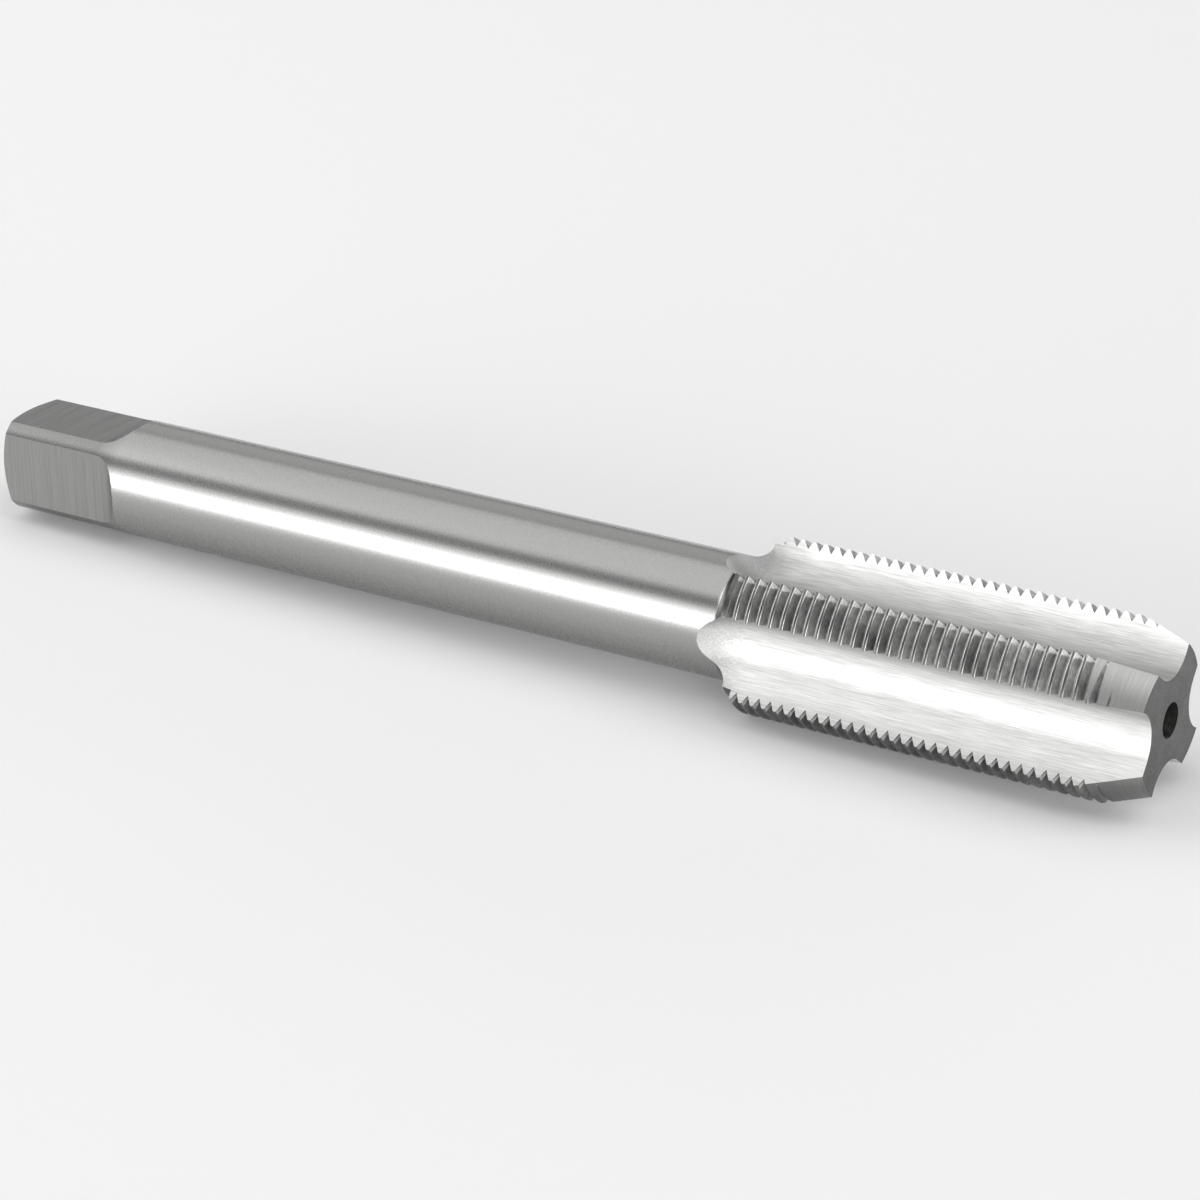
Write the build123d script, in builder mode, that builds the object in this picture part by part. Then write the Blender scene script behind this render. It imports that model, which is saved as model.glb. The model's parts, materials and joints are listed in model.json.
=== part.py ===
from build123d import *
import os
from math import atan2, cos, degrees, radians, sin, sqrt, tan

# A right-hand hand tap for a 1/2 inch thread with 28 turns per inch: one bar of high speed steel,
# turned, milled with four straight flutes and a driving square, hardened, and ground all over.
# It is drawn standing on its square end, with its axis on Z, and is laid down at the end.
# Lengths are in millimetres and angles in degrees.

# Bar
overall_length = 96.8
shank_diameter = 9.0
end_chamfer_width = 1.1
end_chamfer_height = 0.5

# Driving square, turned a little from the flutes as it was milled
square_sides = 4
square_size = 7.1
square_length = 9.4
square_runout_radius = 2.9
square_turn = -4.6

# Thread, on a body that is thicker than the shank. Its depth and the flat on its crest are shares of the
# pitch. The middle of the rearmost groove lies a little behind the thread's end, where the helix starts
threads_per_inch = 28
thread_depth_share = 0.66
crest_flat_share = 0.12
flank_angle = 30.0
thread_diameter = 12.8
thread_length = 30.6
rear_overrun = 0.4
rear_chamfer = 0.2

# Shoulder behind the thread, and the hollow that leads from it to the shank
shoulder_drop = 0.1
shoulder_length = 0.65
neck_radius = 1.25

# Flutes. The hook is the cutting face's undercut and the back wall's angle is measured from the radius too.
# They run out on the wheel's radius, and the wheel gap is how far its axis stays outside the flute's mouth
flute_count = 4
land_angle = 29.0
hook_angle = 12.0
back_wall_angle = 17.0
flute_radius = 2.65
flute_length = 30.0
flute_wheel_gap = 0.62

# Lead: the tapered first threads, with each land falling away behind its cutting edge
lead_length = 3.25
tip_diameter = 10.6
lead_relief = 0.4

# Centre holes in both ends
centre_diameter = 2.5
centre_angle = 60.0
pilot_diameter = 1.2
pilot_depth = 3.4

# How far the cutters run past the steel
clear = 1.0

# Sizes that follow from the ones above
pitch = 25.4 / threads_per_inch
thread_depth = thread_depth_share * pitch
crest_flat = crest_flat_share * pitch
rear_groove = thread_length + rear_overrun
crest_radius = thread_diameter / 2
root_radius = crest_radius - thread_depth
shank_radius = shank_diameter / 2
shoulder_radius = root_radius - shoulder_drop
flute_step = 360 / flute_count
flute_half_angle = (flute_step - land_angle) / 2


def polar(radius, angle):
    return Vector(radius * cos(radians(angle)), radius * sin(radians(angle)))


def from_tip(distance):
    return overall_length - distance


# The turned blank, drawn as half of its outline
shoulder_back = from_tip(thread_length + shoulder_length)
neck_reach = sqrt(neck_radius**2 - (neck_radius + shank_radius - shoulder_radius) ** 2)
neck_start = Vector(shank_radius, shoulder_back - neck_reach)
neck_end = Vector(shoulder_radius, shoulder_back)
with BuildPart() as blank:
    with BuildSketch(Plane.XZ):
        with BuildLine():
            Polyline(
                (0, 0),
                (shank_radius - end_chamfer_width, 0),
                (shank_radius, end_chamfer_height),
                neck_start,
            )
            TangentArc(neck_start, neck_end, tangent=(0, 1))
            Polyline(
                neck_end,
                (shoulder_radius, from_tip(thread_length)),
                (crest_radius - rear_chamfer, from_tip(thread_length)),
                (crest_radius, from_tip(thread_length - rear_chamfer)),
                (crest_radius, overall_length),
                (0, overall_length),
                (0, 0),
            )
        make_face()
    revolve(axis=Axis.Z)

# The milling cutter's path for one flat of the square, with the hollow that its radius leaves
flat_distance = square_size / 2
flat_depth = shank_radius - flat_distance
square_runout = sqrt(square_runout_radius**2 - (square_runout_radius - flat_depth) ** 2)
with BuildPart() as flat_cutter:
    with BuildSketch(Plane.XZ):
        with BuildLine():
            flat_end = Vector(flat_distance, square_length)
            runout_end = Vector(flat_distance + square_runout_radius, square_length + square_runout_radius)
            Polyline(
                runout_end,
                (runout_end.X, -clear),
                (flat_distance, -clear),
                flat_end,
            )
            TangentArc(flat_end, runout_end, tangent=(0, 1))
        make_face()
    extrude(amount=shank_radius, both=True)

# One flute: the cutting face, the rounded floor and the back wall, as the wheel grinds them.
# Its middle points along +X. The cutting edge is on the -Y side and the next land's heel on the +Y side.
cutting_edge = polar(crest_radius, -flute_half_angle)
heel_edge = polar(crest_radius, flute_half_angle)
face_slope = tan(radians(hook_angle - flute_half_angle))
back_slope = tan(radians(back_wall_angle + flute_half_angle))


def on_face(x):
    return Vector(x, cutting_edge.Y + face_slope * (x - cutting_edge.X))


def on_back_wall(x):
    return Vector(x, heel_edge.Y + back_slope * (x - heel_edge.X))


flute_mouth = crest_radius + clear
flute_corner = (on_back_wall(0).Y - on_face(0).Y) / (face_slope - back_slope)
with BuildPart() as flute_cutter:
    with BuildSketch(Plane.XY.offset(from_tip(flute_length))) as flute_section:
        with BuildLine():
            Polyline(on_face(flute_mouth), on_face(flute_corner), on_back_wall(flute_mouth), close=True)
        make_face()
        fillet(flute_section.vertices().sort_by(Axis.X)[0], flute_radius)
    flute_floor = flute_section.sketch.bounding_box().min.X
    extrude(amount=flute_length + clear)
    wheel_axis = Axis(
        (flute_mouth + flute_wheel_gap, 0, from_tip(flute_length)),
        (0, -1, 0),
    )
    revolve(flute_section.sketch, axis=wheel_axis, revolution_arc=90)

# The lead grinding on one land, from the middle of one flute to the middle of the next: a taper about
# an axis set off to the side, so that the land falls away from its cutting edge to its heel
tip_radius = tip_diameter / 2
lead_slope = (crest_radius - tip_radius) / lead_length
lead_offset = lead_relief / sin(radians(land_angle))
lead_centre = polar(lead_offset, flute_half_angle + land_angle + 90)
lead_outside = crest_radius + lead_offset + clear
lead_plane = Plane(
    origin=lead_centre + Vector(0, 0, overall_length),
    x_dir=(1, 0, 0),
    z_dir=(0, -1, 0),
)
with BuildPart() as lead_cutter:
    with BuildSketch(lead_plane):
        with BuildLine():
            Polyline(
                (tip_radius - lead_slope * clear, clear),
                (lead_outside, (tip_radius - lead_outside) / lead_slope),
                (lead_outside, clear),
                close=True,
            )
        make_face()
    revolve(axis=Axis(lead_centre, (0, 0, 1)), revolution_arc=flute_step)

# The thread groove across one land, swept along its stretch of the helix, with room at both ends
flank_slope = tan(radians(flank_angle))
root_flat = pitch - crest_flat - 2 * thread_depth * flank_slope
groove_top = crest_radius + crest_flat / 2
groove_top_width = root_flat + 2 * (groove_top - root_radius) * flank_slope
groove_margin = flute_half_angle / 3
groove_arc = land_angle + 2 * groove_margin
with BuildPart() as groove_cutter:
    with BuildLine() as groove_path:
        Helix(pitch, pitch * groove_arc / 360, root_radius)
    with BuildSketch(Plane.XZ):
        with BuildLine():
            Polyline(
                (root_radius, -root_flat / 2),
                (groove_top, -groove_top_width / 2),
                (groove_top, groove_top_width / 2),
                (root_radius, root_flat / 2),
                close=True,
            )
        make_face()
    sweep(path=groove_path.wire(), is_frenet=True)

# The helix climbs from land to land towards the tip, so each groove is a step further round and up.
# The last ones fade out in the lead, where it drops below the bottom of the thread
bare_lead = (root_radius - tip_radius) / lead_slope
groove_step = pitch / flute_count
groove_count = 1 + int((rear_groove - bare_lead) / groove_step)
groove_places = []
for step in range(groove_count):
    groove_angle = flute_half_angle - groove_margin + (step - 1) * flute_step
    groove_height = from_tip(rear_groove) + step * groove_step - pitch * groove_arc / 720
    groove_places.append(Location((0, 0, groove_height), (0, 0, groove_angle)))

# The whole tap
with BuildPart() as tap:
    add(blank.part)
    with PolarLocations(0, square_sides, start_angle=square_turn):
        add(flat_cutter.part, mode=Mode.SUBTRACT)
    with PolarLocations(0, flute_count):
        add(flute_cutter.part, mode=Mode.SUBTRACT)
        add(lead_cutter.part, mode=Mode.SUBTRACT)
    with Locations(*groove_places):
        add(groove_cutter.part, mode=Mode.SUBTRACT)
    with Locations(Location((0, 0, overall_length)), Location((0, 0, 0), (180, 0, 0))):
        CounterSinkHole(pilot_diameter / 2, centre_diameter / 2, pilot_depth, centre_angle)

# Laid down, it rests on two lands and on the end of its shank, so its axis leans a little and its tip is
# the higher end
land_height = crest_radius * cos(radians(flute_half_angle))
rest_span = from_tip(thread_length - rear_chamfer) - square_length - square_runout
lean = degrees(atan2(land_height - shank_radius, rest_span))
tap.part = tap.part.rotate(Axis.Y, 90 - lean)
box = tap.part.bounding_box()
tap.part = tap.part.translate((-box.center().X, -box.center().Y, -box.min.Z))

tap.part.label = "tap"
os.makedirs("parts", exist_ok=True)
export_step(tap.part, "parts/tap.step")
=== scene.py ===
import json
import math

import bpy
from mathutils import Matrix, Vector


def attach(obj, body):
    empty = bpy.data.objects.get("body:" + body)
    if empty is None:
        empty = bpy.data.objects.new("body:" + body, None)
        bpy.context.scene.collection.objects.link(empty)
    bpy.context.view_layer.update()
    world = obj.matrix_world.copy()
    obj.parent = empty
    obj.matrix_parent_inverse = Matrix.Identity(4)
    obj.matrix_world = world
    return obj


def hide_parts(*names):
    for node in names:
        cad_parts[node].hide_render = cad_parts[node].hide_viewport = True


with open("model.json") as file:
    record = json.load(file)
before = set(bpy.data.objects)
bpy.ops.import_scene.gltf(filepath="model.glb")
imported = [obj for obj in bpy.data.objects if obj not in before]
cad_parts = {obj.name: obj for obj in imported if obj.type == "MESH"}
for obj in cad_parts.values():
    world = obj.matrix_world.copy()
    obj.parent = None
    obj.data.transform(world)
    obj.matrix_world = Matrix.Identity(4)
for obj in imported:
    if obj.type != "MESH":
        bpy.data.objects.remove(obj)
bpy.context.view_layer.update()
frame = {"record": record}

# The bar. A hand tap is one bar of high speed steel, turned between centres, hardened and ground. Its shank
# is plain, its body is thicker and carries the thread, and each end has a centre hole. It stands on its
# square end here, in millimetres, as on the drawing, until it is laid down.
overall_length = 96.8
shank_radius = 4.5
end_chamfer_width = 1.1
end_chamfer_height = 0.5
crest_radius = 6.4
thread_length = 30.6
rear_chamfer = 0.2
pitch = 25.4 / 28
thread_depth = 0.66 * pitch
root_radius = crest_radius - thread_depth
shoulder_drop = 0.1
shoulder_radius = root_radius - shoulder_drop
shoulder_length = 0.65
neck_radius = 1.25
centre_radius = 1.25
centre_angle = 60.0
pilot_radius = 0.6
pilot_depth = 3.4
round_steps = 360
neck_steps = 12

# Where the middle of its square end lies in the model, in metres, and which way its axis goes from there
back_hole = {mount["name"]: mount for mount in frame["record"]["mounts"]}["back_centre_hole"]
back_centre = Vector(back_hole["pos_m"])
axis = -Vector(back_hole["axis"])
lean = math.asin(axis.z)


def add_node(tree, kind, inputs=(), **settings):
    """Adds one node, makes its settings, and gives its sockets their values or links."""
    node = tree.nodes.new(kind)
    for name, value in settings.items():
        setattr(node, name, value)
    for socket, value in dict(inputs).items():
        if isinstance(value, bpy.types.NodeSocket):
            tree.links.new(value, node.inputs[socket])
        else:
            node.inputs[socket].default_value = value
    return node


def linear(hex_colour):
    """The linear colour of an sRGB hex value, with alpha."""
    parts = [int(hex_colour[i : i + 2], 16) / 255 for i in (1, 3, 5)]
    return [p / 12.92 if p <= 0.04045 else ((p + 0.055) / 1.055) ** 2.4 for p in parts] + [1.0]


def shade(tree, amount):
    """Multiplies a material's colour by a socket's value."""
    colour = tree.nodes["Principled BSDF"].inputs["Base Color"]
    before = colour.links[0].from_socket if colour.is_linked else list(colour.default_value)
    product = add_node(
        tree,
        "ShaderNodeMix",
        {"Factor": 1.0, "A": before, "B": amount},
        data_type="RGBA",
        blend_type="MULTIPLY",
    )
    tree.links.new(product.outputs["Result"], colour)


def steel(name, colour, roughness, streak, depth, spread=0.1, contrast=0.1, stains=0.0):
    """High speed steel with a cut or ground surface. streak is how long a scratch is along the bar, across it
    and upwards, and depth is how deep it is, in millimetres. The scratches vary the roughness by spread, and
    darken the colour by up to contrast. Broader stains, if any, darken it by up to the share given. A noise
    is hardly ever outside 0.3 to 0.7."""
    material = bpy.data.materials.new(name)
    material.use_nodes = True
    tree = material.node_tree
    shader = tree.nodes["Principled BSDF"]
    shader.inputs["Base Color"].default_value = linear(colour)
    shader.inputs["Metallic"].default_value = 1.0
    place = add_node(tree, "ShaderNodeTexCoord")
    on_axis = add_node(
        tree,
        "ShaderNodeMapping",
        {"Vector": place.outputs["Object"], "Location": back_centre, "Rotation": (0.0, -lean, 0.0)},
        name="along the tap",
        vector_type="TEXTURE",
    )
    stretched = add_node(
        tree, "ShaderNodeMapping", {"Vector": on_axis.outputs[0], "Scale": [1000 / s for s in streak]}
    )
    scratches = add_node(
        tree,
        "ShaderNodeTexNoise",
        {"Vector": stretched.outputs[0], "Scale": 1.0, "Detail": 3.0, "Roughness": 0.6},
    )
    scratch = scratches.outputs["Fac"]
    scratch_shade = add_node(
        tree,
        "ShaderNodeMapRange",
        {"Value": scratch, "From Min": 0.3, "From Max": 0.7, "To Min": 1 - contrast, "To Max": 1.0},
    )
    shade(tree, scratch_shade.outputs[0])
    if stains:
        stain_size = 2.2
        broad = add_node(
            tree,
            "ShaderNodeTexNoise",
            {"Vector": on_axis.outputs[0], "Scale": 1000 / stain_size, "Detail": 4.0, "Roughness": 0.65},
        )
        stain = broad.outputs["Fac"]
        stain_shade = add_node(
            tree,
            "ShaderNodeMapRange",
            {"Value": stain, "From Min": 0.38, "From Max": 0.6, "To Min": 1 - stains, "To Max": 1.0},
        )
        shade(tree, stain_shade.outputs[0])
    dullest, brightest = roughness + spread / 2, roughness - spread / 2
    matt = add_node(
        tree,
        "ShaderNodeMapRange",
        {"Value": scratch, "From Min": 0.25, "From Max": 0.75, "To Min": dullest, "To Max": brightest},
    )
    tree.links.new(matt.outputs[0], shader.inputs["Roughness"])
    bump = add_node(tree, "ShaderNodeBump", {"Height": scratch, "Strength": 1.0, "Distance": depth / 1000})
    tree.links.new(bump.outputs[0], shader.inputs["Normal"])
    return material


def on_the_tap(tree):
    """The sockets that say where a point of a steel lies: how far along the tap from its square end, how far
    above the axis and how far from it, in metres, and at what angle round it. The angle is the drawing's,
    whose zero comes to lie straight below."""
    parts = add_node(tree, "ShaderNodeSeparateXYZ", {0: tree.nodes["along the tap"].outputs[0]})
    below = add_node(tree, "ShaderNodeMath", {0: parts.outputs["Z"], 1: -1.0}, operation="MULTIPLY")
    across = add_node(tree, "ShaderNodeCombineXYZ", {"X": below.outputs[0], "Y": parts.outputs["Y"]})
    radius = add_node(tree, "ShaderNodeVectorMath", {0: across.outputs[0]}, operation="LENGTH")
    angle = add_node(
        tree, "ShaderNodeMath", {0: parts.outputs["Y"], 1: below.outputs[0]}, operation="ARCTAN2"
    )
    return {
        "along": parts.outputs["X"],
        "above": parts.outputs["Z"],
        "radius": radius.outputs["Value"],
        "angle": angle.outputs[0],
    }


def darkening_by_place(tree, length, start, end, least):
    """How much a steel's colour is darkened by its place: it keeps the least share of its colour
    up to where a length is at its start, and all of it from its end on. Both are in millimetres."""
    factor = add_node(
        tree,
        "ShaderNodeMapRange",
        {"Value": length, "From Min": start / 1000, "From Max": end / 1000, "To Min": least, "To Max": 1.0},
    )
    return factor.outputs[0]


# The ground shank is smooth and bright, with one long sharp highlight, and its underside is darkened by
# painted shade. The real scratches that wheels and cutters leave are about 0.01 mm wide. They are too fine
# to show, so on every face of the tap they are drawn several times as coarse.
shank_steel = steel("ground_high_speed_steel_bar", "#b3b3b2", 0.27, (0.1, 0.3, 0.3), 0.001, spread=0.06)
shank_tree = shank_steel.node_tree
on_shank = on_the_tap(shank_tree)
# Painted shade: the colour darkens from 1.5 mm above the axis down to 1 mm below it
shade(shank_tree, darkening_by_place(shank_tree, on_shank["above"], -1, 1.5, 0.76))

# The crests, the shoulder and most of the hollow behind it keep their turned finish: darker and even, with a
# fine speckle
crest_steel = steel("turned_high_speed_steel_crest", "#757574", 0.3, (0.3, 0.3, 0.3), 0.001, contrast=0.4)

thread_back = overall_length - thread_length
shoulder_back = thread_back - shoulder_length
neck_sweep = math.acos(1 - (shoulder_radius - shank_radius) / neck_radius)
centre_depth = (centre_radius - pilot_radius) / math.tan(math.radians(centre_angle / 2))
outline = [
    (0, pilot_depth),
    (pilot_radius, pilot_depth),
    (pilot_radius, centre_depth),
    (centre_radius, 0),
    (shank_radius - end_chamfer_width, 0),
    (shank_radius, end_chamfer_height),
]
for i in range(neck_steps + 1):
    a = neck_sweep * i / neck_steps
    outline.append(
        (
            shank_radius + neck_radius * (1 - math.cos(a)),
            shoulder_back - neck_radius * (math.sin(neck_sweep) - math.sin(a)),
        )
    )
outline += [
    (shoulder_radius, thread_back),
    (crest_radius - rear_chamfer, thread_back),
    (crest_radius, thread_back + rear_chamfer),
    (crest_radius, overall_length),
    (centre_radius, overall_length),
    (pilot_radius, overall_length - centre_depth),
    (pilot_radius, overall_length - pilot_depth),
    (0, overall_length - pilot_depth),
]


def round_ring(radius, height):
    """A circle round the axis, or a single point on it."""
    if radius == 0:
        return [(0, 0, height)]
    turns = [2 * math.pi * i / round_steps for i in range(round_steps)]
    return [(radius * math.cos(t), radius * math.sin(t), height) for t in turns]


def loft(name, rings):
    """A closed solid through rings of as many points each. A ring of one point is a pole."""
    points = [point for ring in rings for point in ring]
    starts = [0]
    for ring in rings:
        starts.append(starts[-1] + len(ring))
    faces = []
    for low, high, start, after in zip(rings, rings[1:], starts, starts[1:]):
        count = max(len(low), len(high))
        for i in range(count):
            j = (i + 1) % count
            face = [start + i % len(low), start + j % len(low), after + j % len(high), after + i % len(high)]
            faces.append(list(dict.fromkeys(face)))
    if len(rings[0]) > 1:
        faces.append(list(range(starts[1]))[::-1])
    if len(rings[-1]) > 1:
        faces.append(list(range(starts[-2], starts[-1])))
    mesh = bpy.data.meshes.new(name)
    mesh.from_pydata(points, [], faces)
    mesh.calc_loop_triangles()
    corners = [[mesh.vertices[i].co for i in triangle.vertices] for triangle in mesh.loop_triangles]
    if sum(a.dot(b.cross(c)) for a, b, c in corners) < 0:
        mesh.flip_normals()
    return bpy.data.objects.new(name, mesh)


bar = loft("bar", [round_ring(*point) for point in outline])
bar.data.materials.append(shank_steel)
bar.data.materials.append(crest_steel)
turned_share = 0.7
turned_back = shoulder_back - neck_radius * math.sin(neck_sweep) * turned_share
for face in bar.data.polygons:
    if turned_back < face.center.z < thread_back:
        face.material_index = 1
bpy.context.scene.collection.objects.link(bar)

# Cuts round the bar. The square, the flutes and the lead are each cut once, and again after each part turn of
# the bar in a dividing head. One tree turns a cutter round the axis, takes it off the bar at every place, and
# gives the faces that it leaves their finish.


def new_cut(name, sockets):
    """A tree that takes in the bar and gives it back cut, with named inputs, and the node that has them."""
    tree = bpy.data.node_groups.new(name, "GeometryNodeTree")
    tree.interface.new_socket("Geometry", in_out="OUTPUT", socket_type="NodeSocketGeometry")
    for socket, kind in {"Bar": "Geometry", **sockets}.items():
        tree.interface.new_socket(socket, in_out="INPUT", socket_type="NodeSocket" + kind)
    return tree, add_node(tree, "NodeGroupInput")


def cut_bar(name, tree, **inputs):
    """Adds a cut to the bar, with its tree's inputs set by their identifiers."""
    modifier = bar.modifiers.new(name, "NODES")
    modifier.node_group = tree
    identifiers = {s.name: s.identifier for s in tree.interface.items_tree if s.in_out == "INPUT"}
    for socket, value in inputs.items():
        modifier[identifiers[socket.replace("_", " ")]] = value


cut_round, given = new_cut(
    "cut_round_the_bar",
    {"Cutter": "Object", "Places": "Int", "First angle": "Float", "Finish": "Material"},
)
cutter = add_node(cut_round, "GeometryNodeObjectInfo", {"Object": given.outputs["Cutter"]})
cutter_finish = add_node(
    cut_round,
    "GeometryNodeSetMaterial",
    {"Geometry": cutter.outputs["Geometry"], "Material": given.outputs["Finish"]},
)
places = add_node(
    cut_round, "GeometryNodeMeshLine", {"Count": given.outputs["Places"], "Offset": (0.0, 0.0, 0.0)}
)
number = add_node(cut_round, "GeometryNodeInputIndex")
part_turn = add_node(
    cut_round, "ShaderNodeMath", {0: 2 * math.pi, 1: given.outputs["Places"]}, operation="DIVIDE"
)
turn = add_node(
    cut_round,
    "ShaderNodeMath",
    {0: number.outputs[0], 1: part_turn.outputs[0], 2: given.outputs["First angle"]},
    operation="MULTIPLY_ADD",
)
turn_to = add_node(cut_round, "ShaderNodeCombineXYZ", {"Z": turn.outputs[0]})
cutters = add_node(
    cut_round,
    "GeometryNodeInstanceOnPoints",
    {"Points": places.outputs[0], "Instance": cutter_finish.outputs[0], "Rotation": turn_to.outputs[0]},
)
cut = add_node(
    cut_round,
    "GeometryNodeMeshBoolean",
    {"Mesh 1": given.outputs["Bar"], "Mesh 2": cutters.outputs[0]},
    operation="DIFFERENCE",
    solver="MANIFOLD",
)
cut_whole = add_node(cut_round, "GeometryNodeRealizeInstances", {"Geometry": cut.outputs["Mesh"]})
add_node(cut_round, "NodeGroupOutput", {0: cut_whole.outputs[0]})

# The driving square. Four flats are milled across the end of the shank with a side milling cutter, whose
# round edge leaves a hollow where each flat ends. They are set a few degrees off the flutes.
flats = 4
square_size = 7.1
square_length = 9.4
square_runout_radius = 2.9
square_turn = -4.6
runout_steps = 16
clear = 1.0  # how far a cutter runs past the steel

# The round strips between the flats are darker, up to where the round shank begins
darker_past_square = 2.1
shade(
    shank_tree,
    darkening_by_place(shank_tree, on_shank["along"], square_length, square_length + darker_past_square, 0.66),
)

# The milled flats are a soft grey with clear straight lines across them, where the cutter passed
flat_steel = steel("milled_high_speed_steel_flat", "#9b9b9a", 0.32, (0.16, 6.0, 6.0), 0.003, contrast=0.22)

half_square = square_size / 2
past_shank = shank_radius + clear
profile = [(half_square, -clear)]
for i in range(runout_steps + 1):
    a = math.radians(90 * i / runout_steps)
    x = half_square + square_runout_radius * (1 - math.cos(a))
    if x < past_shank:
        profile.append((x, square_length + square_runout_radius * math.sin(a)))
profile = [(past_shank, profile[-1][1]), (past_shank, -clear), *profile]
flat_cutter = loft("flat_cutter", [[(x, y, z) for x, z in profile] for y in (-past_shank, past_shank)])
cut_bar(
    "square",
    cut_round,
    Cutter=flat_cutter,
    Places=flats,
    First_angle=math.radians(square_turn),
    Finish=flat_steel,
)

# The flutes. Four straight flutes are ground from the solid: a hooked cutting face, a round floor and a back
# wall, which run out at the rear on the wheel's own radius. The wheel travels along the bar and leaves its
# lines that way.
flutes = 4
land_angle = 29.0
hook_angle = 12.0
back_wall_angle = 17.0
flute_radius = 2.65
flute_length = 30.0
wheel_gap = 0.62
floor_steps = 24
wheel_steps = 30
flute_half_angle = (360 / flutes - land_angle) / 2
half = math.radians(flute_half_angle)
cutting_edge = Vector((math.cos(half), -math.sin(half))) * crest_radius
heel_edge = Vector((math.cos(half), math.sin(half))) * crest_radius
face_slope = math.tan(math.radians(hook_angle - flute_half_angle))
back_slope = math.tan(math.radians(back_wall_angle + flute_half_angle))


def on_face(x):
    return Vector((x, cutting_edge.y + face_slope * (x - cutting_edge.x)))


def on_back_wall(x):
    return Vector((x, heel_edge.y + back_slope * (x - heel_edge.x)))


flute_mouth = crest_radius + clear
corner = on_face((on_back_wall(0).y - on_face(0).y) / (face_slope - back_slope))
face_way = (on_face(flute_mouth) - corner).normalized()
back_way = (on_back_wall(flute_mouth) - corner).normalized()
opening = face_way.angle(back_way)
floor_centre = corner + (face_way + back_way).normalized() * flute_radius / math.sin(opening / 2)
reach = flute_radius / math.tan(opening / 2)
floor_start = corner + face_way * reach - floor_centre
floor_sweep = math.pi - opening
section = [on_face(flute_mouth)]
for i in range(floor_steps + 1):
    spoke = floor_start.copy()
    spoke.rotate(Matrix.Rotation(-floor_sweep * i / floor_steps, 2))
    section.append(floor_centre + spoke)
section.append(on_back_wall(flute_mouth))
wheel_axis = flute_mouth + wheel_gap
flute_end = overall_length - flute_length
rings = [[(p.x, p.y, overall_length + clear) for p in section]]
for i in range(wheel_steps + 1):
    a = math.radians(90 * i / wheel_steps)
    rings.append(
        [
            (wheel_axis - (wheel_axis - p.x) * math.cos(a), p.y, flute_end - (wheel_axis - p.x) * math.sin(a))
            for p in section
        ]
    )
flute_cutter = loft("flute_cutter", rings)

# The ground flutes are the brightest faces, silky and nearly white, with long thin lines along them
flute_steel = steel(
    "ground_high_speed_steel_flute", "#f6f6f5", 0.6, (2.2, 0.07, 0.07), 0.004, contrast=0.3
)
# Painted shade darkens the flute on top on its floor and at its run-out, and the others at their mouths,
# which lie 1 to 2 mm above the axis, and near the crests. The cosine of the angle round the tap is -1 on top.
floor_fade = 1.6
runout_fade = (flute_end - 1.5, flute_end + 2.5)
mouth_fade = (2.0, 1.0)
crest_fade = 1.5
flute_tree = flute_steel.node_tree
in_flute = on_the_tap(flute_tree)
floor_radius = floor_centre.length - flute_radius
painted_shade_on_top_flute = add_node(
    flute_tree,
    "ShaderNodeMath",
    {
        0: darkening_by_place(flute_tree, in_flute["radius"], floor_radius, floor_radius + floor_fade, 0.58),
        1: darkening_by_place(flute_tree, in_flute["along"], *runout_fade, 0.55),
    },
    operation="MINIMUM",
)
painted_shade_at_mouths = add_node(
    flute_tree,
    "ShaderNodeMath",
    {
        0: darkening_by_place(flute_tree, in_flute["above"], *mouth_fade, 0.55),
        1: darkening_by_place(flute_tree, in_flute["radius"], crest_radius, crest_radius - crest_fade, 0.7),
    },
    operation="MINIMUM",
)
downward = add_node(flute_tree, "ShaderNodeMath", {0: in_flute["angle"]}, operation="COSINE")
on_top = add_node(
    flute_tree, "ShaderNodeMapRange", {"Value": downward.outputs[0], "From Min": -0.6, "From Max": -0.8}
)
painted_flute_shade = add_node(
    flute_tree,
    "ShaderNodeMix",
    {"Factor": on_top.outputs[0], "A": painted_shade_at_mouths.outputs[0], "B": painted_shade_on_top_flute.outputs[0]},
    data_type="RGBA",
)
shade(flute_tree, painted_flute_shade.outputs["Result"])
cut_bar("flutes", cut_round, Cutter=flute_cutter, Places=flutes, First_angle=0.0, Finish=flute_steel)

# The lead. The first threads are ground to a taper, so that they enter the hole. Each land is relieved: it is
# ground about an axis set off to the side, and falls away behind its cutting edge.
lead_length = 3.25
tip_radius = 5.3
lead_relief = 0.4
lead_steps = 90
lead_slope = (crest_radius - tip_radius) / lead_length
lead_offset = lead_relief / math.sin(math.radians(land_angle))
lead_way = math.radians(flute_half_angle + land_angle + 90)
lead_centre = Vector((math.cos(lead_way), math.sin(lead_way))) * lead_offset
outside = crest_radius + lead_offset + clear
taper = [
    (tip_radius - lead_slope * clear, clear),
    (outside, (tip_radius - outside) / lead_slope),
    (outside, clear),
]
rings = []
for i in range(lead_steps + 1):
    a = math.radians(i * 360 / flutes / lead_steps)
    rings.append(
        [
            (lead_centre.x + r * math.cos(a), lead_centre.y + r * math.sin(a), overall_length + h)
            for r, h in taper
        ]
    )
lead_cutter = loft("lead_cutter", rings)

# The ground lead is a middle grey with fine lines round it. Like all of the lands it is darkened
# underneath by painted shade, more and more so down to 3 mm below the axis.
painted_shade_underside = (-3, 0)
lead_steel = steel("ground_high_speed_steel_lead", "#bcbcbb", 0.42, (0.1, 2.5, 2.5), 0.003, contrast=0.2)
lead_tree = lead_steel.node_tree
shade(lead_tree, darkening_by_place(lead_tree, on_the_tap(lead_tree)["above"], *painted_shade_underside, 0.5))
cut_bar("lead", cut_round, Cutter=lead_cutter, Places=flutes, First_angle=0.0, Finish=lead_steel)

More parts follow.
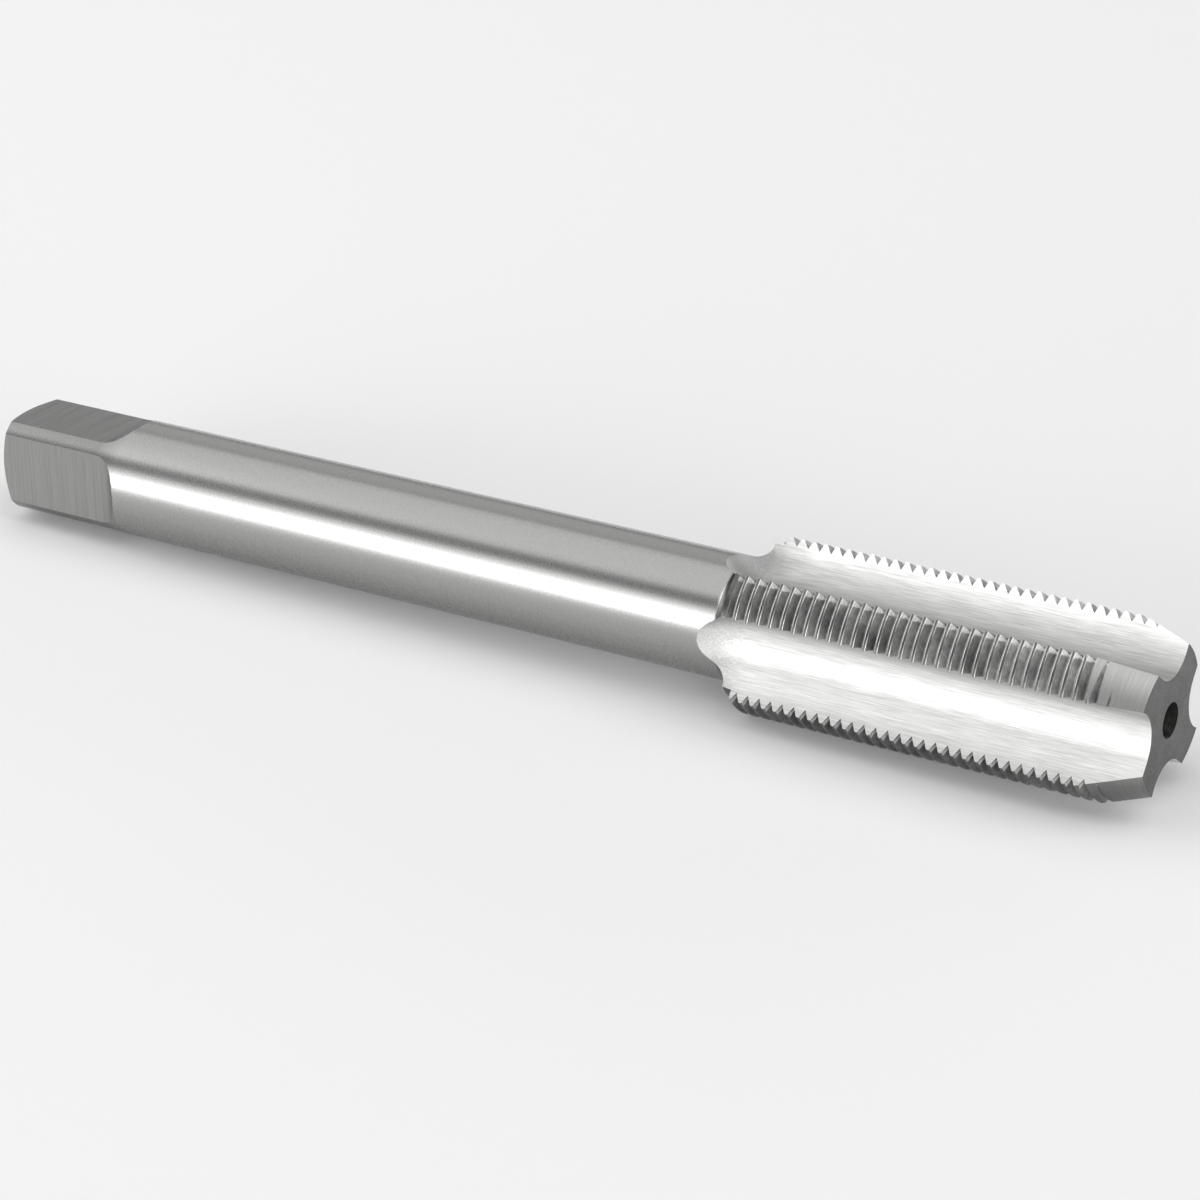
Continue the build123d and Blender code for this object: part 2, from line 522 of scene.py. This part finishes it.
# The thread. The groove between the threads is ground with one profiled wheel on a right-hand helix, 28 turns
# to the inch. Its flanks stand at 30 degrees, its root is narrow, and the edges of the narrow flat that it
# leaves on each crest are broken in two steps.
flank_angle = 30.0
crest_flat = 0.13
edge_steps = ((0.028, 20), (0.028, 42))  # width and tilt of each
groove_top = 0.05  # how far the groove goes on outside the crests
groove_top_widening = 0.01
rear_overrun = 0.4  # how far behind the thread's end the middle of the rearmost groove lies
first_land = -45.0
run_in = 25.0  # how far before the middle of its first land the helix starts, inside a flute
helix_steps = 180
half_width = (pitch - crest_flat) / 2
groove_profile = [(crest_radius + groove_top, half_width + groove_top_widening), (crest_radius, half_width)]
for width, tilt in edge_steps:
    r, half_width = groove_profile[-1]
    groove_profile.append((r - width * math.tan(math.radians(tilt)), half_width - width))
edge_radius, half_width = groove_profile[-1]
flank = math.tan(math.radians(flank_angle))
groove_profile.append((root_radius, half_width - (edge_radius - root_radius) * flank))
half_groove = [(r - root_radius, w, 0) for r, w in groove_profile]
points = half_groove + [(x, -w, z) for x, w, z in reversed(half_groove)]
wheel_mesh = bpy.data.meshes.new("thread_wheel")
wheel_mesh.from_pydata(points, [(i, (i + 1) % len(points)) for i in range(len(points))], [])
thread_wheel = bpy.data.objects.new("thread_wheel", wheel_mesh)

# The broken edges catch the light as two fine bright lines on each crest
edge_steel = steel("brushed_high_speed_steel_edge", "#d2d2d1", 0.22, (0.4, 0.4, 0.4), 0.0, contrast=0.3)
edge_tree = edge_steel.node_tree
# Painted shade darkens the edges underneath, down to 3 mm below the axis
shade(edge_tree, darkening_by_place(edge_tree, on_the_tap(edge_tree)["above"], *painted_shade_underside, 0.4))

# The flanks and roots are dull, with short scratches, and mottled by stains
thread_steel = steel(
    "ground_high_speed_steel_thread", "#f0f0ef", 0.56, (0.14, 0.3, 0.3), 0.006, contrast=0.35, stains=0.4
)
thread_tree = thread_steel.node_tree
thread_shader = thread_tree.nodes["Principled BSDF"]
in_thread = on_the_tap(thread_tree)

# At each land's heel, where the flute wheel broke out through the thread, the burrs are bright ragged facets.
# They are wider at the crest than at the root.
burr_size = 0.16
burr_reach = 0.07
heel_at_root = 0.18
heel_at_crest = 0.5
heel_blend = 0.03
heel_slope = 30.0
from_heel = add_node(
    thread_tree,
    "ShaderNodeMath",
    {0: in_thread["angle"], 1: math.radians(flute_half_angle)},
    operation="SUBTRACT",
)
round_land = add_node(
    thread_tree,
    "ShaderNodeMath",
    {0: from_heel.outputs[0], 1: 2 * math.pi / flutes},
    operation="FLOORED_MODULO",
)
along_land = add_node(
    thread_tree, "ShaderNodeMath", {0: round_land.outputs[0], 1: crest_radius / 1000}, operation="MULTIPLY"
)
burr = add_node(
    thread_tree,
    "ShaderNodeTexNoise",
    {
        "Vector": thread_tree.nodes["along the tap"].outputs[0],
        "Scale": 1000 / burr_size,
        "Detail": 3.0,
        "Roughness": 0.7,
    },
)
ragged = add_node(
    thread_tree,
    "ShaderNodeMapRange",
    {
        "Value": burr.outputs["Fac"],
        "From Min": 0.3,
        "From Max": 0.7,
        "To Min": -burr_reach / 1000,
        "To Max": burr_reach / 1000,
    },
)
heel_place = add_node(
    thread_tree, "ShaderNodeMath", {0: along_land.outputs[0], 1: ragged.outputs[0]}, operation="ADD"
)
heel_width = add_node(
    thread_tree,
    "ShaderNodeMapRange",
    {
        "Value": in_thread["radius"],
        "From Min": root_radius / 1000,
        "From Max": crest_radius / 1000,
        "To Min": heel_at_root / 1000,
        "To Max": heel_at_crest / 1000,
    },
)
inside_heel = add_node(
    thread_tree, "ShaderNodeMath", {0: heel_width.outputs[0], 1: heel_place.outputs[0]}, operation="SUBTRACT"
)
heel = add_node(
    thread_tree,
    "ShaderNodeMapRange",
    {"Value": inside_heel.outputs[0], "From Min": 0.0, "From Max": heel_blend / 1000},
)
# The grooves darken a little from the heel towards the cutting edge
edge_fade = (0.2 * land_angle, 0.65 * land_angle)
towards_edge = add_node(
    thread_tree,
    "ShaderNodeMapRange",
    {
        "Value": round_land.outputs[0],
        "From Min": math.radians(edge_fade[0]),
        "From Max": math.radians(edge_fade[1]),
        "To Min": 1.0,
        "To Max": 0.95,
    },
)
shade(thread_tree, towards_edge.outputs[0])
thread_colour = thread_shader.inputs["Base Color"]
heel_colour = add_node(
    thread_tree,
    "ShaderNodeMix",
    {"Factor": heel.outputs[0], "A": thread_colour.links[0].from_socket, "B": linear("#f6f6f5")},
    data_type="RGBA",
)
thread_tree.links.new(heel_colour.outputs["Result"], thread_colour)
# Painted shade darkens all of it underneath, and a little towards the shank
painted_shade_toward_shank = (78, 92)
shade(thread_tree, darkening_by_place(thread_tree, in_thread["above"], *painted_shade_underside, 0.65))
shade(thread_tree, darkening_by_place(thread_tree, in_thread["along"], *painted_shade_toward_shank, 0.83))
# The facets lean back from the flanks
fallen = add_node(
    thread_tree, "ShaderNodeMath", {0: heel_place.outputs[0], 1: heel_width.outputs[0]}, operation="MINIMUM"
)
thread_normal = thread_shader.inputs["Normal"]
facets = add_node(
    thread_tree,
    "ShaderNodeBump",
    {
        "Height": fallen.outputs[0],
        "Strength": 1.0,
        "Distance": math.tan(math.radians(heel_slope)),
        "Normal": thread_normal.links[0].from_socket,
    },
)
thread_tree.links.new(facets.outputs[0], thread_normal)

# The drilled centre holes are nearly black, a painted shade, with fine rings, and the faced ends a dull,
# slightly blotched grey
painted_dark_hole_steel = steel("drilled_high_speed_steel_hole_painted_dark", "#2e2e2d", 0.5, (0.1, 1.0, 1.0), 0.006, contrast=0.4)
end_steel = steel(
    "faced_high_speed_steel_end", "#747473", 0.42, (0.15, 0.15, 0.15), 0.004, contrast=0.25, stains=0.2
)

cut_thread, given = new_cut(
    "cut_the_thread",
    {
        "Wheel": "Object",
        **dict.fromkeys(("Pitch", "Turns", "Start height", "Start angle"), "Float"),
        **dict.fromkeys(("Root radius", "Edge radius", "Crest radius", "Hole radius"), "Float"),
        **dict.fromkeys(("Finish", "Edge finish", "Crest finish", "Hole finish", "End finish"), "Material"),
    },
)
rise = add_node(
    cut_thread, "ShaderNodeMath", {0: given.outputs["Pitch"], 1: given.outputs["Turns"]}, operation="MULTIPLY"
)
helix = add_node(
    cut_thread,
    "GeometryNodeCurveSpiral",
    {
        "Resolution": helix_steps,
        "Rotations": given.outputs["Turns"],
        "Start Radius": given.outputs["Root radius"],
        "End Radius": given.outputs["Root radius"],
        "Height": rise.outputs[0],
        "Reverse": True,
    },
)
upright = add_node(cut_thread, "GeometryNodeSetCurveNormal", {"Curve": helix.outputs[0]}, mode="Z_UP")
wheel = add_node(cut_thread, "GeometryNodeObjectInfo", {"Object": given.outputs["Wheel"]})
wheel_edge = add_node(cut_thread, "GeometryNodeMeshToCurve", {"Mesh": wheel.outputs["Geometry"]})
groove = add_node(
    cut_thread,
    "GeometryNodeCurveToMesh",
    {"Curve": upright.outputs[0], "Profile Curve": wheel_edge.outputs[0], "Fill Caps": True},
)
start = add_node(cut_thread, "ShaderNodeCombineXYZ", {"Z": given.outputs["Start height"]})
start_turn = add_node(cut_thread, "ShaderNodeCombineXYZ", {"Z": given.outputs["Start angle"]})
groove_placed = add_node(
    cut_thread,
    "GeometryNodeTransform",
    {"Geometry": groove.outputs[0], "Translation": start.outputs[0], "Rotation": start_turn.outputs[0]},
)
groove_finish = add_node(
    cut_thread,
    "GeometryNodeSetMaterial",
    {"Geometry": groove_placed.outputs[0], "Material": given.outputs["Finish"]},
)
spot = add_node(cut_thread, "GeometryNodeInputPosition")
flat_spot = add_node(
    cut_thread, "ShaderNodeVectorMath", {0: spot.outputs[0], 1: (1.0, 1.0, 0.0)}, operation="MULTIPLY"
)
spot_radius = add_node(cut_thread, "ShaderNodeVectorMath", {0: flat_spot.outputs[0]}, operation="LENGTH")
on_edge = add_node(
    cut_thread,
    "FunctionNodeCompare",
    {"A": spot_radius.outputs["Value"], "B": given.outputs["Edge radius"]},
    data_type="FLOAT",
    operation="GREATER_THAN",
)
edge_finish = add_node(
    cut_thread,
    "GeometryNodeSetMaterial",
    {
        "Geometry": groove_finish.outputs[0],
        "Selection": on_edge.outputs["Result"],
        "Material": given.outputs["Edge finish"],
    },
)
threaded = add_node(
    cut_thread,
    "GeometryNodeMeshBoolean",
    {"Mesh 1": given.outputs["Bar"], "Mesh 2": edge_finish.outputs[0]},
    operation="DIFFERENCE",
    solver="MANIFOLD",
)
# Edges that turn by less than this angle are shaded smooth, and all others are sharp
smooth_below = 14.0
edge_angle = add_node(cut_thread, "GeometryNodeInputMeshEdgeAngle")
soft_edge = add_node(
    cut_thread,
    "FunctionNodeCompare",
    {"A": edge_angle.outputs["Unsigned Angle"], "B": math.radians(smooth_below)},
    data_type="FLOAT",
    operation="LESS_THAN",
)
faces_smooth = add_node(
    cut_thread, "GeometryNodeSetShadeSmooth", {"Geometry": threaded.outputs["Mesh"]}, domain="FACE"
)
edges_sharp = add_node(
    cut_thread,
    "GeometryNodeSetShadeSmooth",
    {"Geometry": faces_smooth.outputs[0], "Shade Smooth": soft_edge.outputs["Result"]},
    domain="EDGE",
)
normal = add_node(cut_thread, "GeometryNodeInputNormal")
normal_parts = add_node(cut_thread, "ShaderNodeSeparateXYZ", {0: normal.outputs[0]})
along_bar = add_node(cut_thread, "ShaderNodeMath", {0: normal_parts.outputs["Z"]}, operation="ABSOLUTE")
# The crests are what is left of the bar's outside, the holes what lies nearest the axis, and the ends what
# faces along it
facing_along = 0.999
finished = add_node(cut_thread, "GeometryNodeRealizeInstances", {"Geometry": edges_sharp.outputs[0]})
for measure, comparison, limit, finish in (
    (spot_radius.outputs["Value"], "GREATER_THAN", given.outputs["Crest radius"], "Crest finish"),
    (spot_radius.outputs["Value"], "LESS_THAN", given.outputs["Hole radius"], "Hole finish"),
    (along_bar.outputs[0], "GREATER_THAN", facing_along, "End finish"),
):
    chosen = add_node(
        cut_thread, "FunctionNodeCompare", {"A": measure, "B": limit}, data_type="FLOAT", operation=comparison
    )
    finished = add_node(
        cut_thread,
        "GeometryNodeSetMaterial",
        {
            "Geometry": finished.outputs[0],
            "Selection": chosen.outputs["Result"],
            "Material": given.outputs[finish],
        },
    )
add_node(cut_thread, "NodeGroupOutput", {0: finished.outputs[0]})

crest_tolerance = 0.003
rear_groove = thread_length + rear_overrun
cut_bar(
    "thread",
    cut_thread,
    Wheel=thread_wheel,
    Pitch=pitch,
    Turns=rear_groove / pitch,
    Start_height=overall_length - rear_groove - run_in / 360 * pitch,
    Start_angle=math.radians(first_land - run_in),
    Root_radius=root_radius,
    Edge_radius=edge_radius,
    Crest_radius=crest_radius - crest_tolerance,
    Hole_radius=centre_radius,
    Finish=thread_steel,
    Edge_finish=edge_steel,
    Crest_finish=crest_steel,
    Hole_finish=painted_dark_hole_steel,
    End_finish=end_steel,
)

# The finished tap. It is one piece of steel, laid down where the model has it: on two lands and on the end of
# its shank, with its axis leaning a little and its tip the higher end.
laid = Matrix(
    (
        (axis.z, 0, axis.x, back_centre.x),
        (0, 1, 0, back_centre.y),
        (-axis.x, 0, axis.z, back_centre.z),
        (0, 0, 0, 1),
    )
)
finished_bar = bar.evaluated_get(bpy.context.evaluated_depsgraph_get())
steel_mesh = bpy.data.meshes.new_from_object(finished_bar)
steel_mesh.transform(laid @ Matrix.Scale(0.001, 4))
for used in (bar, flat_cutter, flute_cutter, lead_cutter, thread_wheel):
    bpy.data.objects.remove(used)
tap = bpy.data.objects.new("ground_steel_tap", steel_mesh)
bpy.context.scene.collection.objects.link(tap)
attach(tap, "root")
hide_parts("tap")

# Floor, light and camera. The floor is plain pale paper, soft boxes stand in front, above, behind and at both
# sides, and the camera is where the photograph was taken. All of this is in metres.
scene = bpy.context.scene
floor_reach = 3

# Matt white paper has no shine at all: an even pale ground that takes a soft shadow
paper = bpy.data.materials.new("matt_white_paper")
paper.use_nodes = True
paper_shader = paper.node_tree.nodes["Principled BSDF"]
paper_shader.inputs["Base Color"].default_value = linear("#f0f0f0")
paper_shader.inputs["Roughness"].default_value = 0.9
paper_shader.inputs["Specular IOR Level"].default_value = 0.0
floor_mesh = bpy.data.meshes.new("floor")
floor_corners = [(x * floor_reach, y * floor_reach, 0) for x, y in ((-1, -1), (1, -1), (1, 1), (-1, 1))]
floor_mesh.from_pydata(floor_corners, [], [(0, 1, 2, 3)])
floor_mesh.materials.append(paper)
floor = bpy.data.objects.new("floor", floor_mesh)
scene.collection.objects.link(floor)

# A faint even light fills the shadows
world = bpy.data.worlds.new("studio")
world.use_nodes = True
world.node_tree.nodes["Background"].inputs["Color"].default_value = linear("#ffffff")
world.node_tree.nodes["Background"].inputs["Strength"].default_value = 0.12
scene.world = world


def soft_box(name, at, facing, width, height, brightness):
    """A soft box at a place, turned to face another, whose surface has the brightness given."""
    light = bpy.data.lights.new(name, "AREA")
    light.shape = "RECTANGLE"
    light.size = width
    light.size_y = height
    light.energy = brightness * math.pi * width * height
    box = bpy.data.objects.new(name, light)
    box.location = at
    box.rotation_euler = (Vector(facing) - Vector(at)).to_track_quat("-Z", "Y").to_euler()
    box.visible_camera = False
    scene.collection.objects.link(box)


# Long strips arch over the tap from front to back, each from a low to a high angle, and make its highlights
strip_middle = -0.4
strip_distance = 0.85
strip_length = 1.1
for name, low, high, brightness in (
    ("front_low", 0, 23, 4.6),
    ("front_high", 23, 37, 1.35),
    ("overhead", 58, 127, 0.95),
    ("back", 132, 170, 0.53),
):
    upward = math.radians((low + high) / 2)
    place = (strip_middle, -strip_distance * math.cos(upward), strip_distance * math.sin(upward))
    height = 2 * strip_distance * math.tan(math.radians(high - low) / 2)
    soft_box(name, place, (strip_middle, 0, 0.005), strip_length, height, brightness)
soft_box("right", (0.78, -0.56, 0.34), (0, 0, 0), 0.45, 0.45, 3.4)
soft_box("high_right", (0.6, 0.16, 0.9), (0, 0, 0), 0.8, 0.8, 2.0)
soft_box("left", (-0.88, -0.15, 0.4), (0, 0, 0), 0.45, 0.6, 2.8)
soft_box("back_right", (0.45, 1.2, 0.2), (0, 0, 0.02), 1.6, 0.5, 2.2)

# The camera's place, turn and lens were worked out from points read off the photograph
camera_data = bpy.data.cameras.new("camera")
camera_data.sensor_width = 36
camera_data.lens = 109.3853
camera_data.clip_start = 0.01
camera_data.clip_end = 20
camera = bpy.data.objects.new("camera", camera_data)
camera_place = (0.12966998, -0.19313702, 0.12923574)
azimuth, elevation, roll = (math.radians(a) for a in (33.0276, 28.5191, -2.7834))
back = Vector(
    (
        math.sin(azimuth) * math.cos(elevation),
        -math.cos(azimuth) * math.cos(elevation),
        math.sin(elevation),
    )
)
camera.matrix_world = (
    Matrix.Translation(camera_place)
    @ back.to_track_quat("Z", "Y").to_matrix().to_4x4()
    @ Matrix.Rotation(roll, 4, "Z")
)
scene.collection.objects.link(camera)
scene.camera = camera
scene.view_settings.view_transform = "Standard"
